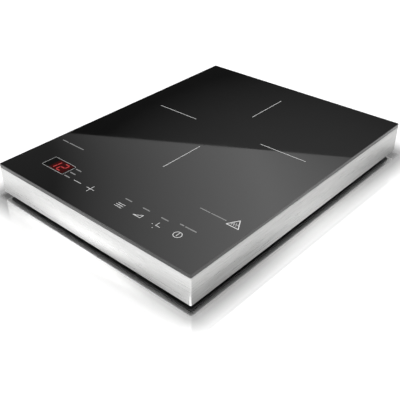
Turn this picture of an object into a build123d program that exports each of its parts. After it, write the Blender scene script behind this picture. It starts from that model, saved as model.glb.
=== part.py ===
from build123d import *
import math
import os

# A portable induction hob with one cooking zone: a glass top on a steel skirt, a plastic base
# with four rubber feet, and the coil, fan, boards and wiring inside.
# Millimetres, +Z up, the controls at -Y. The origin is on the surface that the hob stands on,
# under the middle of the glass.

# Outer sizes
WIDTH = 290.0
DEPTH = 378.0
HEIGHT = 43.0
CORNER_R = 1.5

# Heights, from the surface upwards
FOOT_H = 4.2
BASE_T = 2.0
GLASS_T = 4.0
SEAL_T = 0.8
FLOOR = FOOT_H + BASE_T
GLASS_Z = HEIGHT - GLASS_T
FRAME_TOP = GLASS_Z - SEAL_T

# Glass and its seal
GLASS_TOP_BEVEL = 0.5
GLASS_LOW_BEVEL = 0.4
SEAL_INSET = 1.5
SEAL_W = 6.0

# Steel skirt
SHEET_T = 1.0
TOP_FLANGE = 8.0
LOW_FLANGE = 13.0
VENT_W = 3.0
VENT_H = 14.0
VENT_Z = 21.0
VENT_PITCH = 6.0
VENT_COUNT = 21
VENT_MID_X = -15.0

# Plastic base
BASE_GAP = 4.0
TRAY_GAP = 13.5
WALL_T = 2.0
WALL_TOP = 16.0
SLOT_W = 3.2
SLOT_PITCH = 6.2
INLET_R = 42.0
OUTLET_Y = (149.0, 167.0)
RIB_T = 1.5
RIB_H = 3.0

# Feet
FOOT_X = 120.0
FOOT_Y = 167.0
FOOT_R = 11.0
PLUG_R = 3.8
BARB_R = 4.75
PLUG_HOLE_R = 4.0

# Screws
M3_R = 1.5
SCREW_HEAD_R = 3.0
SCREW_HEAD_H = 1.8
BASE_SCREWS = [(sx * 136.5, sy * 110.0) for sx in (-1, 1) for sy in (-1, 1)]
BASE_SCREWS += [(sx * 70.0, sy * 180.5) for sx in (-1, 1) for sy in (-1, 1)]

# Mains cord inlet in the rear wall
INLET_X = 100.0
INLET_Z = 17.0
INLET_HALF = 12.0
INLET_TOP = 27.0
CORD_BORE_R = 4.1
GLAND_R = 6.95
GLAND_Y = (177.0, DEPTH / 2 - 0.5)

# Fan
FAN_X = -82.0
FAN_Y = -114.0
FAN_SIDE = 92.0
FAN_T = 15.0
FAN_DUCT_R = 44.0
FAN_HOLE = 41.25
FAN_PIN_R = 2.05
BLADE_COUNT = 7
BLADE_R = 42.6
HUB_R = 18.0
HUB_WALL = 1.5
HUB_Z = (7.7, 18.6)
SHAFT_R = 1.5
SHAFT_CLEARANCE = 0.03

# Coil, centred under the cooking zone
COIL_Y = 38.3
COIL_TURNS = 20
COIL_PITCH = 3.4
COIL_WIRE_R = 1.55
COIL_IN_R = 24.0
COIL_OUT_R = COIL_IN_R + COIL_TURNS * COIL_PITCH
CARRIER_Z = (25.7, 33.2)
COIL_Z = CARRIER_Z[1] + 0.05 + COIL_WIRE_R
ARM_COUNT = 6
ARM_W = 15.3
RING_R = (95.0, 98.5)
LUG_R = 103.0
LUG_TOP = 29.2
LUG_ANGLES = (90, 210, 330)
FERRITE = (50.0, 12.0, 4.0)
FERRITE_IN_R = 28.0
POST_R = 4.0

# Temperature sensor, sprung against the glass in the middle of the coil
CAP_R = 7.0
GUIDE_R = 7.3
CAP_Z = (30.5, GLASS_Z)
CAP_WALL = 1.5
SPRING_R = 4.3
SPRING_WIRE_R = 0.45
BEAD_R = 1.6

# Boards
BOARD_T = 1.6
POWER_X = (-22.0, 114.0)
POWER_Y = (-160.0, -62.0)
POWER_Z = 12.2
POWER_TOP = POWER_Z + BOARD_T
POWER_POSTS = [(-18.0, -156.0), (110.0, -156.0), (-18.0, -66.0), (110.0, -66.0)]
CONTROL_X = (-122.0, 126.0)
CONTROL_Y = (-174.0, -126.0)
CONTROL_Z = 30.0
CONTROL_TOP = CONTROL_Z + BOARD_T
CONTROL_POSTS = [(-104.0, -168.0), (-28.0, -132.0), (104.0, -168.0), (122.0, -132.0)]
BOARD_POST_R = 3.5

# Touch keys, from the left: less, more, menu, level, timer, on-off
KEYS = [(-47.5, -155.8), (-26.5, -155.8), (19.5, -156.5), (45.5, -155.5), (71.0, -157.0), (97.0, -154.0)]
KEY_SPRING_R = 4.0
KEY_WIRE_R = 0.3
DISPLAY_X = (-107.0, -73.0)
DISPLAY_Y = (-156.5, -137.5)
DISPLAY_TOP = 38.4
LED_X = -64.5
LED_Y = (-139.7, -148.0, -156.0)

# Heatsink and its two devices
SINK_X = (-4.0, 72.0)
SINK_Y = (-122.0, -74.0)
SINK_PLATE_Z = (19.0, 22.5)
SINK_TOP = 35.0
FIN_COUNT = 9
FIN_T = 1.6
IGBT_SCREW = (20.0, -90.0)
BRIDGE_SCREW = (52.0, -99.0)
DEVICE_Z = (14.0, SINK_PLATE_Z[0])

# Other parts on the power board
CHOKE = (32.0, -142.0)
CHOKE_R = (13.0, 7.5)
CHOKE_Z = (16.0, 25.0)
FUSE_X = (52.0, 72.0)
FUSE_Y = -150.0
FUSE_Z = 18.5
FUSE_R = 2.6
RIBBON_X = (-20.0, -4.0)
RIBBON_Y = (-139.0, -133.0)
RIBBON_LOW = 26.0
SENSOR_HEADER = ((-13.0, -5.0), (-75.0, -69.0))
FAN_HEADER = ((-20.0, -12.0), (-91.0, -85.0))

# Terminals and wires
HEADER_H = 5.0
TAB_H = 5.0
COIL_TERMINALS = [(80.0, -68.0), (92.0, -68.0)]
COIL_TERMINAL_H = 4.0
MAINS_TABS = [(110.0, -76.0), (102.0, -76.0)]
BLOCK_X = (86.0, 114.0)
BLOCK_Y = (152.0, 167.0)
BLOCK_TOP = 19.0
BLOCK_WAYS = (94.0, 102.0, 110.0)
MAINS_WIRE_R = 1.5
THIN_WIRE_R = 1.0


def block(x, y, z):
    """A box between the pairs of limits x, y and z."""
    middle = Pos((x[0] + x[1]) / 2, (y[0] + y[1]) / 2, (z[0] + z[1]) / 2)
    return middle * Box(x[1] - x[0], y[1] - y[0], z[1] - z[0])


def rod(x, y, z, radius):
    """An upright cylinder at x, y between the two heights z."""
    return Pos(x, y, (z[0] + z[1]) / 2) * Cylinder(radius, z[1] - z[0])


def pipe(x, y, z, outer, inner):
    """An upright tube."""
    return rod(x, y, z, outer) - rod(x, y, (z[0] - 1, z[1] + 1), inner)


def rod_y(x, z, y, radius):
    """A cylinder along Y, between the two depths y."""
    return Pos(x, (y[0] + y[1]) / 2, z) * Rot(90, 0, 0) * Cylinder(radius, y[1] - y[0])


def group(solids):
    """Separate solids kept in one node."""
    return Compound(children=list(solids))


def slab(half_x, half_y, z, corner):
    """A plate about the origin with rounded upright corners."""
    plate = Pos(0, 0, z[0]) * extrude(RectangleRounded(2 * half_x, 2 * half_y, corner), z[1] - z[0])
    return plate


def wire(points, radius):
    """A round wire along straight runs joined by the largest arcs that the runs allow."""
    places = [Vector(*point) for point in points]
    bends = []
    for before, corner, after in zip(places, places[1:], places[2:]):
        run_in = corner - before
        run_out = after - corner
        half_turn = math.radians(run_in.get_angle(run_out)) / 2
        shorter = min(run_in.length, run_out.length)
        bends.append(0.45 * shorter / math.tan(half_turn))
    path = FilletPolyline(*places, radius=bends)
    section = Plane(origin=path @ 0, z_dir=path % 0) * Circle(radius)
    print("wire bend radii", [round(bend, 1) for bend in bends])
    return sweep(section, path=path)


def screw(x, y, seat, tip, radius=M3_R, head_r=SCREW_HEAD_R):
    """A pan-head screw. The head is on the far side of the seat from the tip."""
    up = 1 if seat > tip else -1
    head_z = sorted((seat, seat + up * SCREW_HEAD_H))
    head = rod(x, y, head_z, head_r)
    rim = head.faces().sort_by(Axis.Z)[-1 if up > 0 else 0].edges()
    head = fillet(rim, 0.7)
    drive = rod(x, y, sorted((seat + up * SCREW_HEAD_H, seat + up * 0.8)), 1.1)
    return head + rod(x, y, sorted((seat, tip)), radius) - drive


def from_coil(radius, angle):
    """The X and Y of a point at a radius and angle about the coil's axis."""
    turn = math.radians(angle)
    return radius * math.cos(turn), COIL_Y + radius * math.sin(turn)


# ---- outside ----

def glass_plate():
    plate = slab(WIDTH / 2, DEPTH / 2, (GLASS_Z, HEIGHT), CORNER_R)
    plate = chamfer(plate.faces().sort_by(Axis.Z)[-1].edges(), GLASS_TOP_BEVEL)
    return chamfer(plate.faces().sort_by(Axis.Z)[0].edges(), GLASS_LOW_BEVEL)


def glass_seal():
    half_x = WIDTH / 2 - SEAL_INSET
    half_y = DEPTH / 2 - SEAL_INSET
    ring = slab(half_x, half_y, (FRAME_TOP, GLASS_Z), 1.0)
    return ring - slab(half_x - SEAL_W, half_y - SEAL_W, (FRAME_TOP - 1, GLASS_Z + 1), 1.0)


def frame_cuts():
    """What is cut from the skirt: the cord inlet, the rear vents and the screw holes."""
    rear = DEPTH / 2
    low_z = (FLOOR - 1, FLOOR + SHEET_T + 1)
    inlet = (INLET_X - INLET_HALF, INLET_X + INLET_HALF)
    cuts = [block(inlet, (rear - LOW_FLANGE, rear + 1), (FLOOR - 1, INLET_TOP))]
    for index in range(VENT_COUNT):
        x = VENT_MID_X + (index - (VENT_COUNT - 1) / 2) * VENT_PITCH
        vent = extrude(SlotOverall(VENT_H, VENT_W, rotation=90), 2 * SHEET_T, both=True)
        cuts.append(Pos(x, rear, VENT_Z) * Rot(90, 0, 0) * vent)
    cuts += [rod(x, y, low_z, M3_R + 0.05) for x, y in BASE_SCREWS]
    return cuts


def steel_frame():
    half_x = WIDTH / 2
    half_y = DEPTH / 2
    skirt = slab(half_x, half_y, (FLOOR, FRAME_TOP), CORNER_R)
    inside = slab(half_x - SHEET_T, half_y - SHEET_T, (FLOOR + SHEET_T, FRAME_TOP - SHEET_T), 0.5)
    top = slab(half_x - TOP_FLANGE, half_y - TOP_FLANGE, (FRAME_TOP - 5, FRAME_TOP + 1), 2.0)
    low = slab(half_x - LOW_FLANGE, half_y - LOW_FLANGE, (FLOOR - 1, FLOOR + 5), 2.0)
    return skirt - [inside, top, low] - frame_cuts()


def base_slots():
    """Air inlet slots under the fan and outlet slots near the rear."""
    slots = []
    for index in range(-6, 7):
        offset = index * SLOT_PITCH
        half = math.sqrt(INLET_R ** 2 - offset ** 2)
        shape = extrude(SlotOverall(2 * half, SLOT_W), 2 * BASE_T, both=True)
        slots.append(Pos(FAN_X, FAN_Y + offset, FOOT_H) * shape)
    outlet = extrude(SlotOverall(OUTLET_Y[1] - OUTLET_Y[0], SLOT_W, rotation=90), 2 * BASE_T, both=True)
    for index in range(23):
        slots.append(Pos(-75 + index * 6.0, sum(OUTLET_Y) / 2, FOOT_H) * outlet)
    return slots


def base_posts():
    """Posts for the coil, both boards and the fan, and stiffening ribs."""
    posts = [rod(*from_coil(LUG_R, angle), (FOOT_H, CARRIER_Z[0]), POST_R) for angle in LUG_ANGLES]
    posts += [rod(x, y, (FOOT_H, POWER_Z), BOARD_POST_R) for x, y in POWER_POSTS]
    posts += [rod(x, y, (FOOT_H, CONTROL_Z), BOARD_POST_R) for x, y in CONTROL_POSTS]
    posts += [rod(FAN_X + sx * FAN_HOLE, FAN_Y + sy * FAN_HOLE, (FOOT_H, 14.2), FAN_PIN_R)
              for sx in (-1, 1) for sy in (-1, 1)]
    rib_z = (FOOT_H, FLOOR + RIB_H)
    for x in (-50.0, 50.0):
        posts.append(block((x - RIB_T / 2, x + RIB_T / 2), (-50.0, 140.0), rib_z))
    for y in (10.0, 90.0):
        posts.append(block((-125.0, 100.0), (y - RIB_T / 2, y + RIB_T / 2), rib_z))
    return posts


def base_holes():
    """Screw holes, foot holes and the gap in the rear wall where the cord comes in."""
    holes = [rod(*from_coil(LUG_R, angle), (17.0, 27.0), M3_R + 0.05) for angle in LUG_ANGLES]
    holes += [rod(x, y, (7.0, 13.0), M3_R + 0.05) for x, y in POWER_POSTS]
    holes += [rod(x, y, (22.0, 31.0), M3_R + 0.05) for x, y in CONTROL_POSTS]
    holes += [rod(FAN_X + sx * FAN_HOLE, FAN_Y + sy * FAN_HOLE, (7.0, 15.0), 1.25)
              for sx in (-1, 1) for sy in (-1, 1)]
    holes += [rod(sx * FOOT_X, sy * FOOT_Y, (0, 8), PLUG_HOLE_R) for sx in (-1, 1) for sy in (-1, 1)]
    holes += [rod(x, y, (0, 8), M3_R + 0.2) for x, y in BASE_SCREWS]
    holes.append(block((INLET_X - INLET_HALF, INLET_X + INLET_HALF), (172.0, 177.0), (FLOOR, 20.0)))
    return holes


def base_shell():
    plate = slab(WIDTH / 2 - BASE_GAP, DEPTH / 2 - BASE_GAP, (FOOT_H, FLOOR), 3.0)
    low_edges = plate.faces().sort_by(Axis.Z)[0].edges()
    plate = chamfer(low_edges, 0.8)
    half_x = WIDTH / 2 - TRAY_GAP
    half_y = DEPTH / 2 - TRAY_GAP
    wall = slab(half_x, half_y, (FOOT_H, WALL_TOP), 4.0)
    wall -= slab(half_x - WALL_T, half_y - WALL_T, (FOOT_H - 1, WALL_TOP + 1), 2.0)
    return plate + wall + base_posts() - base_slots() - base_holes()


def foot(sx, sy):
    x = sx * FOOT_X
    y = sy * FOOT_Y
    pad = rod(x, y, (0, FOOT_H), FOOT_R)
    pad = fillet(pad.faces().sort_by(Axis.Z)[0].edges(), 1.2)
    plug = rod(x, y, (FOOT_H, FLOOR), PLUG_R)
    barb = Pos(x, y, FLOOR + 1.0) * Cone(BARB_R, PLUG_R - 1.0, 2.0)
    return pad + plug + barb


def base_screws():
    return group(screw(x, y, FOOT_H, FOOT_H + 6.0) for x, y in BASE_SCREWS)


def cord_inlet():
    """The moulded insert that closes the notch in the rear wall."""
    rear = DEPTH / 2
    half = INLET_HALF - 0.2
    plug_z = (FLOOR + 0.2, INLET_TOP - 0.2)
    lip_z = (FLOOR + SHEET_T + 0.2, INLET_TOP + 2.8)
    plug = block((INLET_X - half, INLET_X + half), (184.0, rear), plug_z)
    lip = block((INLET_X - half - 3, INLET_X + half + 3), (184.0, rear - SHEET_T - 0.1), lip_z)
    return plug + lip - rod_y(INLET_X, INLET_Z, (180.0, rear + 1), GLAND_R + 0.05)


def cord_gland():
    body = rod_y(INLET_X, INLET_Z, GLAND_Y, GLAND_R)
    collar = rod_y(INLET_X, INLET_Z, (180.0, 184.0), 9.0)
    return body + collar - rod_y(INLET_X, INLET_Z, (GLAND_Y[0] - 1, GLAND_Y[1] + 1), CORD_BORE_R)


# ---- fan ----

def fan_frame():
    half = FAN_SIDE / 2
    z = (FLOOR, FLOOR + FAN_T)
    body = Pos(FAN_X, FAN_Y, z[0]) * extrude(RectangleRounded(FAN_SIDE, FAN_SIDE, 4.0), FAN_T)
    body -= rod(FAN_X, FAN_Y, (z[0] - 1, z[1] + 1), FAN_DUCT_R)
    strut_z = (z[1] - 2.0, z[1])
    body += rod(FAN_X, FAN_Y, strut_z, 17.0)
    for angle in (30, 120, 210, 300):
        strut = Pos(30.0, 0, (strut_z[0] + strut_z[1]) / 2) * Box(32.0, 3.5, 2.0)
        body += Pos(FAN_X, FAN_Y, 0) * Rot(0, 0, angle) * strut
    body += rod(FAN_X, FAN_Y, (10.0, z[1] - 1), 4.0)
    holes = [rod(FAN_X + sx * FAN_HOLE, FAN_Y + sy * FAN_HOLE, (z[0] - 1, z[1] + 1), 2.2)
             for sx in (-1, 1) for sy in (-1, 1)]
    return body - holes - rod(FAN_X, FAN_Y, (9.0, strut_z[0]), 2.5)


def fan_bearing():
    return pipe(FAN_X, FAN_Y, (10.0, 18.9), 2.5, SHAFT_R + SHAFT_CLEARANCE)


def fan_stator():
    core = pipe(FAN_X, FAN_Y, (11.0, 18.0), 14.0, 4.05)
    gaps = [Pos(FAN_X, FAN_Y, 14.5) * Rot(0, 0, 45 + 90 * turn) * Pos(12.0, 0, 0) * Box(6.0, 2.0, 8.0)
            for turn in range(4)]
    return core - gaps


def fan_blade():
    """One twisted blade, from inside the hub wall to beyond the tip circle."""
    mid_z = sum(HUB_Z) / 2
    root = Plane((HUB_R - 1.0, 0, mid_z), x_dir=(0, 1, 0), z_dir=(1, 0, 0))
    tip = Plane((BLADE_R + 0.8, 0, mid_z), x_dir=(0, 1, 0), z_dir=(1, 0, 0))
    return loft([root * Rot(0, 0, 48) * Rectangle(13.0, 1.3), tip * Rot(0, 0, 28) * Rectangle(20.0, 1.1)])


def fan_rotor():
    hub = rod(0, 0, HUB_Z, HUB_R)
    hub = fillet(hub.faces().sort_by(Axis.Z)[0].edges(), 1.0)
    hub -= rod(0, 0, (HUB_Z[0] + HUB_WALL, HUB_Z[1] + 1), HUB_R - HUB_WALL)
    blades = [Rot(0, 0, index * 360 / BLADE_COUNT) * fan_blade() for index in range(BLADE_COUNT)]
    limit = rod(0, 0, HUB_Z, BLADE_R)
    rotor = hub + [blade & limit for blade in blades]
    rotor -= rod(0, 0, (7.9, 10.0), SHAFT_R)
    return Pos(FAN_X, FAN_Y, 0) * rotor


def rotor_magnet():
    return pipe(FAN_X, FAN_Y, (10.0, 18.0), HUB_R - HUB_WALL, 14.5)


def fan_shaft():
    return rod(FAN_X, FAN_Y, (7.9, 19.0), SHAFT_R)


def fan_screws():
    top = FLOOR + FAN_T
    return group(screw(FAN_X + sx * FAN_HOLE, FAN_Y + sy * FAN_HOLE, top, 8.0, radius=1.2)
                 for sx in (-1, 1) for sy in (-1, 1))


# ---- coil ----

def coil_carrier():
    z = CARRIER_Z
    body = rod(0, 0, z, 22.0) + pipe(0, 0, z, RING_R[1], RING_R[0])
    arms = []
    pockets = []
    for index in range(ARM_COUNT):
        turn = Rot(0, 0, 30 + index * 360 / ARM_COUNT)
        arms.append(turn * block((18.0, RING_R[0] + 1), (-ARM_W / 2, ARM_W / 2), z))
        reach = (FERRITE_IN_R - 0.2, FERRITE_IN_R + FERRITE[0] + 0.2)
        width = FERRITE[1] / 2 + 0.2
        pockets.append(turn * block(reach, (-width, width), (z[0] - 1, z[0] + FERRITE[2] + 0.7)))
    lugs = [Rot(0, 0, angle) * rod(LUG_R, 0, (z[0], LUG_TOP), 6.0) for angle in LUG_ANGLES]
    holes = [Rot(0, 0, angle) * rod(LUG_R, 0, (z[0] - 1, LUG_TOP + 1), 1.9) for angle in LUG_ANGLES]
    body = body + arms + lugs - rod(0, 0, (z[0] + 1.2, z[1] + 1), GUIDE_R)
    body = body - pockets - holes - rod(0, 0, (z[0] - 1, z[1]), 2.0)
    keep_clear = [Rot(0, 0, angle) * rod(LUG_R, 0, (LUG_TOP, z[1] + 1), 3.4) for angle in LUG_ANGLES]
    return Pos(0, COIL_Y, 0) * (body - keep_clear)


def coil_winding():
    """A flat spiral of half circles, whose radius grows by half a pitch at each half turn."""
    arcs = []
    for half in range(2 * COIL_TURNS):
        odd = half % 2
        centre = (odd * COIL_PITCH / 2, COIL_Y, COIL_Z)
        radius = COIL_IN_R + half * COIL_PITCH / 2
        arcs.append(CenterArc(centre, radius, 180 * odd, 180))
    path = Wire(arcs)
    section = Plane(origin=path @ 0, z_dir=path % 0) * Circle(COIL_WIRE_R)
    return sweep(section, path=path)


def ferrite_bars():
    z = (CARRIER_Z[0] + 0.6, CARRIER_Z[0] + 0.6 + FERRITE[2])
    bar = block((FERRITE_IN_R, FERRITE_IN_R + FERRITE[0]), (-FERRITE[1] / 2, FERRITE[1] / 2), z)
    turns = [Rot(0, 0, 30 + index * 360 / ARM_COUNT) for index in range(ARM_COUNT)]
    return group(Pos(0, COIL_Y, 0) * turn * bar for turn in turns)


def mica_sheet():
    low = COIL_Z + COIL_WIRE_R + 0.05
    return pipe(0, COIL_Y, (low, low + 0.6), COIL_OUT_R + 2.5, COIL_IN_R - 4.0)


def coil_screws():
    return group(screw(*from_coil(LUG_R, angle), LUG_TOP, 18.5) for angle in LUG_ANGLES)


def sensor_cap():
    cap = rod(0, COIL_Y, CAP_Z, CAP_R)
    cap = fillet(cap.faces().sort_by(Axis.Z)[-1].edges(), 0.8)
    return cap - rod(0, COIL_Y, (CAP_Z[0] - 1, CAP_Z[1] - CAP_WALL), CAP_R - CAP_WALL)


def sensor_bead():
    return Pos(0, COIL_Y, CAP_Z[1] - CAP_WALL - BEAD_R) * Sphere(BEAD_R)


def spiral_spring(radius, wire_r, z, turns):
    """A round-wire spring about the origin, between two heights."""
    height = z[1] - z[0] - 2 * wire_r
    path = Pos(0, 0, z[0] + wire_r) * Helix(pitch=height / turns, height=height, radius=radius)
    section = Plane(origin=path @ 0, z_dir=path % 0) * Circle(wire_r)
    return sweep(section, path=path, is_frenet=True)


def sensor_spring():
    z = (CARRIER_Z[0] + 1.3, CAP_Z[1] - CAP_WALL - 0.1)
    return Pos(0, COIL_Y, 0) * spiral_spring(SPRING_R, SPRING_WIRE_R, z, 5)


# ---- power board ----

def power_board():
    board = block(POWER_X, POWER_Y, (POWER_Z, POWER_TOP))
    through = (POWER_Z - 1, POWER_TOP + 1)
    holes = [rod(x, y, through, M3_R + 0.2) for x, y in POWER_POSTS]
    holes += [rod(x, y, through, 3.5) for x, y in (IGBT_SCREW, BRIDGE_SCREW)]
    return board - holes


def heatsink():
    deep = SINK_Y[1] - SINK_Y[0]
    plate = block(SINK_X, SINK_Y, SINK_PLATE_Z)
    legs = [block(SINK_X, (SINK_Y[0], SINK_Y[0] + 3), (POWER_TOP, SINK_PLATE_Z[0])),
            block(SINK_X, (SINK_Y[1] - 3, SINK_Y[1]), (POWER_TOP, SINK_PLATE_Z[0]))]
    fins = []
    for index in range(FIN_COUNT):
        y = SINK_Y[0] + index * (deep - FIN_T) / (FIN_COUNT - 1)
        fins.append(block(SINK_X, (y, y + FIN_T), (SINK_PLATE_Z[1], SINK_TOP)))
    holes = [rod(x, y, (18.0, SINK_PLATE_Z[1]), M3_R + 0.05) for x, y in (IGBT_SCREW, BRIDGE_SCREW)]
    return plate + legs + fins - holes


def bent_leads(xs, y, width):
    """Flat legs that leave a device's front face and turn down to the board."""
    legs = []
    for x in xs:
        side = (x - width / 2, x + width / 2)
        legs.append(block(side, (y - 4.5, y), (16.2, 17.0)))
        legs.append(block(side, (y - 5.3, y - 4.5), (POWER_TOP, 17.0)))
    return legs


def igbt():
    x, y = IGBT_SCREW
    body = block((x - 8, x + 8), (y - 16, y + 5), DEVICE_Z)
    body = body + bent_leads((x - 5.4, x, x + 5.4), y - 16, 1.4)
    return body - rod(x, y, (13.0, 20.0), M3_R + 0.2)


def bridge_rectifier():
    x, y = BRIDGE_SCREW
    body = block((x - 14, x + 14), (y - 9, y + 9), DEVICE_Z)
    body = body + bent_leads((x - 10.5, x - 3.5, x + 3.5, x + 10.5), y - 9, 1.2)
    return body - rod(x, y, (13.0, 20.0), M3_R + 0.2)


def device_screws():
    return group(screw(x, y, DEVICE_Z[0], 22.3, head_r=2.8) for x, y in (IGBT_SCREW, BRIDGE_SCREW))


def film_capacitor(x, y, top):
    """A boxed film capacitor standing on the power board."""
    body = block(x, y, (POWER_TOP, top))
    return fillet(body.edges().filter_by(Axis.Z), 1.0)


def choke_core():
    return pipe(*CHOKE, CHOKE_Z, *CHOKE_R)


def choke_winding():
    """Two windings of flat-sided loops on opposite halves of the ring core."""
    width = CHOKE_R[0] - CHOKE_R[1]
    height = CHOKE_Z[1] - CHOKE_Z[0]
    loop = RectangleRounded(width + 3.2, height + 3.2, 1.5) - RectangleRounded(width + 0.4, height + 0.4, 0.2)
    loop = Rot(90, 0, 0) * extrude(loop, 0.65, both=True)
    middle = Pos((CHOKE_R[0] + CHOKE_R[1]) / 2, 0, sum(CHOKE_Z) / 2)
    loops = []
    for start in (30, 210):
        for index in range(8):
            loops.append(Pos(*CHOKE, 0) * Rot(0, 0, start + index * 120 / 7) * middle * loop)
    return group(loops)


def fuse():
    body = Pos(sum(FUSE_X) / 2, FUSE_Y, FUSE_Z) * Rot(0, 90, 0) * Cylinder(FUSE_R - 0.3, FUSE_X[1] - FUSE_X[0])
    ends = [Pos(x, FUSE_Y, FUSE_Z) * Rot(0, 90, 0) * Cylinder(FUSE_R, 5.0)
            for x in (FUSE_X[0] + 2.5, FUSE_X[1] - 2.5)]
    return body + ends


def fuse_clips():
    bore = Pos(sum(FUSE_X) / 2, FUSE_Y, FUSE_Z) * Rot(0, 90, 0) * Cylinder(FUSE_R + 0.05, 40.0)
    clips = []
    for x in (FUSE_X[0] + 2.5, FUSE_X[1] - 2.5):
        clip = block((x - 2, x + 2), (FUSE_Y - 3.4, FUSE_Y + 3.4), (POWER_TOP, FUSE_Z + 1.5))
        clips.append(clip - bore)
    return group(clips)


def varistor():
    disc = rod_y(60.0, 21.0, (-136.0, -132.0), 6.0)
    disc = fillet(disc.edges().filter_by(GeomType.CIRCLE), 1.2)
    return disc + [rod(x, -134.0, (POWER_TOP, 19.0), 0.4) for x in (57.0, 63.0)]


def electrolytic_capacitors():
    cans = []
    for x in (84.0, 98.0):
        can = rod(x, -134.0, (POWER_TOP, 27.0), 5.0)
        cans.append(fillet(can.edges().filter_by(GeomType.CIRCLE), 0.6))
    return group(cans)


def supply_transformer():
    core = block((76.0, 96.0), (-154.0, -146.0), (15.3, 27.0))
    bobbin = block((79.0, 93.0), (-157.0, -143.0), (POWER_TOP, 16.0))
    coil = block((81.0, 91.0), (-156.5, -143.5), (15.5, 25.5))
    return core + bobbin + coil


def buzzer():
    case = rod(105.0, -143.0, (POWER_TOP, 22.8), 6.0)
    case = fillet(case.faces().sort_by(Axis.Z)[-1].edges(), 0.5)
    return case - rod(105.0, -143.0, (21.0, 23.0), 1.0)


def header(x, y, z):
    """A connector housing with an open top, as a shell round its pins."""
    body = block(x, y, z)
    hollow = block((x[0] + 0.8, x[1] - 0.8), (y[0] + 0.8, y[1] - 0.8), (z[1] - 0.6, z[1] + 1))
    return body - hollow


def board_headers():
    z = (POWER_TOP, POWER_TOP + HEADER_H)
    parts = [header(x, y, z) for x, y in (SENSOR_HEADER, FAN_HEADER, (RIBBON_X, RIBBON_Y))]
    parts.append(block(RIBBON_X, RIBBON_Y, (RIBBON_LOW, CONTROL_Z)))
    for x, y in MAINS_TABS:
        parts.append(block((x - 0.4, x + 0.4), (y - 3, y + 3), (POWER_TOP, POWER_TOP + TAB_H)))
    return group(parts)


def board_chips():
    control_z = (CONTROL_TOP, CONTROL_TOP + 1.6)
    return group([
        block((-8.0, 8.0), (-146.0, -134.0), control_z),
        block((-60.0, -46.0), (-142.0, -136.0), control_z),
        block((5.0, 15.0), (-138.0, -132.0), (POWER_TOP, POWER_TOP + 2.2)),
    ])


def coil_terminals():
    z = (POWER_TOP, POWER_TOP + COIL_TERMINAL_H)
    return group(rod(x, y, z, 3.0) for x, y in COIL_TERMINALS)


def power_board_screws():
    return group(screw(x, y, POWER_TOP, 8.0) for x, y in POWER_POSTS)


# ---- control board ----

def control_board():
    board = block(CONTROL_X, CONTROL_Y, (CONTROL_Z, CONTROL_TOP))
    return board - [rod(x, y, (CONTROL_Z - 1, CONTROL_TOP + 1), M3_R + 0.2) for x, y in CONTROL_POSTS]


def control_board_screws():
    return group(screw(x, y, CONTROL_TOP, 23.0) for x, y in CONTROL_POSTS)


def display_module():
    body = block(DISPLAY_X, DISPLAY_Y, (CONTROL_TOP, DISPLAY_TOP))
    return fillet(body.edges().filter_by(Axis.Z), 1.0)


def digit(x, segments):
    """Bars of one seven-segment figure whose lower left corner is at x."""
    wide = 9.0
    tall = 13.0
    bar = 1.6
    z = (DISPLAY_TOP, DISPLAY_TOP + 0.3)
    low = sum(DISPLAY_Y) / 2 - tall / 2
    flat = {"top": tall - bar, "middle": (tall - bar) / 2, "bottom": 0.0}
    upright = {"upper_left": (0.0, 1), "upper_right": (wide - bar, 1),
               "lower_left": (0.0, 0), "lower_right": (wide - bar, 0)}
    half = (tall - bar) / 2
    bars = []
    for name in segments:
        if name in flat:
            y = low + flat[name]
            bars.append(block((x + bar + 0.1, x + wide - bar - 0.1), (y, y + bar), z))
        else:
            side, level = upright[name]
            y = low + bar / 2 + level * half
            bars.append(block((x + side, x + side + bar), (y + 0.4, y + half - 0.4), z))
    return bars


def display_digits():
    one = digit(-100.0, ["upper_right", "lower_right"])
    two = digit(-88.0, ["top", "upper_right", "middle", "lower_left", "bottom"])
    return group(one + two)


def touch_springs():
    spring = spiral_spring(KEY_SPRING_R, KEY_WIRE_R, (CONTROL_TOP + 0.02, GLASS_Z - 0.05), 4)
    return group(Pos(x, y, 0) * spring for x, y in KEYS)


def indicator_leds():
    z = (CONTROL_TOP, CONTROL_TOP + 1.5)
    return group(block((LED_X - 1.5, LED_X + 1.5), (y - 1, y + 1), z) for y in LED_Y)


# ---- mains and wiring ----

def terminal_block():
    body = block(BLOCK_X, BLOCK_Y, (FLOOR, BLOCK_TOP))
    middle = sum(BLOCK_Y) / 2
    for x in BLOCK_WAYS:
        body -= rod(x, middle, (14.5, BLOCK_TOP + 1), 2.2)
        body -= rod_y(x, 12.0, (middle + 3, BLOCK_Y[1] + 1), 2.0)
    return body


def terminal_screws():
    middle = sum(BLOCK_Y) / 2
    return group(rod(x, middle, (14.5, 18.0), 2.0) for x in BLOCK_WAYS)


def mains_wires():
    routes = []
    for way, lane, tab, height in zip(BLOCK_WAYS, (116.0, 121.0), MAINS_TABS, (24.0, 28.5)):
        top = POWER_TOP + TAB_H
        routes.append([(way, BLOCK_Y[0], 12.0), (way, 144.0, 12.0), (lane, 122.0, 10.0), (lane, -44.0, 10.0),
                       (lane, -66.0, height), (*tab, height), (*tab, top)])
    return group(wire(route, MAINS_WIRE_R) for route in routes)


def earth_wire():
    """The earth wire, with a ring tag round one of the base screws."""
    x, y = BASE_SCREWS[3]
    tag_z = (FLOOR + SHEET_T, FLOOR + SHEET_T + 1.0)
    route = [(BLOCK_WAYS[2], BLOCK_Y[0], 12.0), (BLOCK_WAYS[2], 146.0, 12.0), (112.0, 136.0, 20.0),
             (122.0, y + 8.5, 20.0), (x, y + 8.5, 20.0), (x, y + 8.5, tag_z[1] - 0.2)]
    tag = pipe(x, y, tag_z, 4.0, M3_R + 0.1) + block((x - 1.8, x + 1.8), (y + 3.5, y + 10.5), tag_z)
    return wire(route, MAINS_WIRE_R) + tag


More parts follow.
